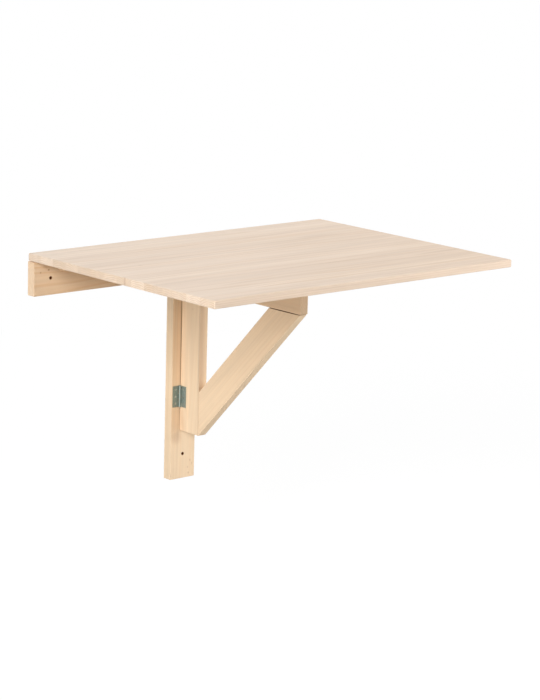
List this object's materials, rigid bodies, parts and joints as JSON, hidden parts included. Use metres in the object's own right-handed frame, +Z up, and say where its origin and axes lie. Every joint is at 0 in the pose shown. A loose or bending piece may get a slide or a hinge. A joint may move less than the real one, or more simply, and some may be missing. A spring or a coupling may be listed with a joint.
{
  "type": "wall mounted drop leaf table",
  "caption": "Wall mounted drop leaf table: a flat wooden leaf hinged to a wall rail and carried by a triangular bracket that swings out from a vertical wall batten.",
  "frame": {"origin": "middle of the rail's screw line, on the wall plane", "axes": "+X along the wall to the right, +Y into the wall, +Z up"},
  "size_m": [0.79, 0.591, 0.5272],
  "materials": {
    "leaf_wood": "sanded, bare",
    "frame_wood": "planed, bare",
    "dowel_wood": "fluted, bare",
    "hinge_zinc": "zinc plated, satin",
    "screw_zinc": "zinc plated, bright"
  },
  "bodies": {
    "wall_frame": {"wall_rail": "frame_wood", "wall_batten": "frame_wood", "hinge_strip": "frame_wood", "rail_dowels": "dowel_wood", "strip_screws": "screw_zinc", "batten_hinge_screws": "screw_zinc", "strip_hinge_screws": "screw_zinc", "upper_bracket_hinge_fixed_leaf": "hinge_zinc", "upper_bracket_hinge_pin": "hinge_zinc", "lower_bracket_hinge_fixed_leaf": "hinge_zinc", "lower_bracket_hinge_pin": "hinge_zinc", "left_leaf_hinge_fixed_leaf": "hinge_zinc", "left_leaf_hinge_pin": "hinge_zinc", "right_leaf_hinge_fixed_leaf": "hinge_zinc", "right_leaf_hinge_pin": "hinge_zinc"},
    "bracket": {"bracket_leg": "frame_wood", "bracket_arm": "frame_wood", "bracket_brace": "frame_wood", "leg_arm_dowels": "dowel_wood", "leg_brace_dowels": "dowel_wood", "arm_brace_dowels": "dowel_wood", "leg_hinge_screws": "screw_zinc", "upper_bracket_hinge_moving_leaf": "hinge_zinc", "lower_bracket_hinge_moving_leaf": "hinge_zinc"},
    "leaf": {"leaf_stave_01": "leaf_wood", "leaf_stave_02": "leaf_wood", "leaf_stave_03": "leaf_wood", "leaf_stave_04": "leaf_wood", "leaf_stave_05": "leaf_wood", "leaf_stave_06": "leaf_wood", "leaf_stave_07": "leaf_wood", "leaf_stave_08": "leaf_wood", "leaf_stave_09": "leaf_wood", "leaf_stave_10": "leaf_wood", "leaf_stave_11": "leaf_wood", "leaf_stave_12": "leaf_wood", "leaf_stave_13": "leaf_wood", "leaf_stave_14": "leaf_wood", "leaf_cleat": "frame_wood", "cleat_screws": "screw_zinc", "leaf_hinge_screws": "screw_zinc", "left_leaf_hinge_moving_leaf": "hinge_zinc", "right_leaf_hinge_moving_leaf": "hinge_zinc"}
  },
  "joints": [
    {"name": "bracket_swing", "type": "hinge", "parent": "wall_frame", "child": "bracket", "pos_m": [-0.013, -0.025, -0.175], "axis": [0, 0, -1], "range_deg": [0, 90]},
    {"name": "leaf_lift", "type": "hinge", "parent": "wall_frame", "child": "leaf", "pos_m": [0, -0.047, 0.0332], "axis": [-1, 0, 0], "range_deg": [0, 1]}
  ]
}
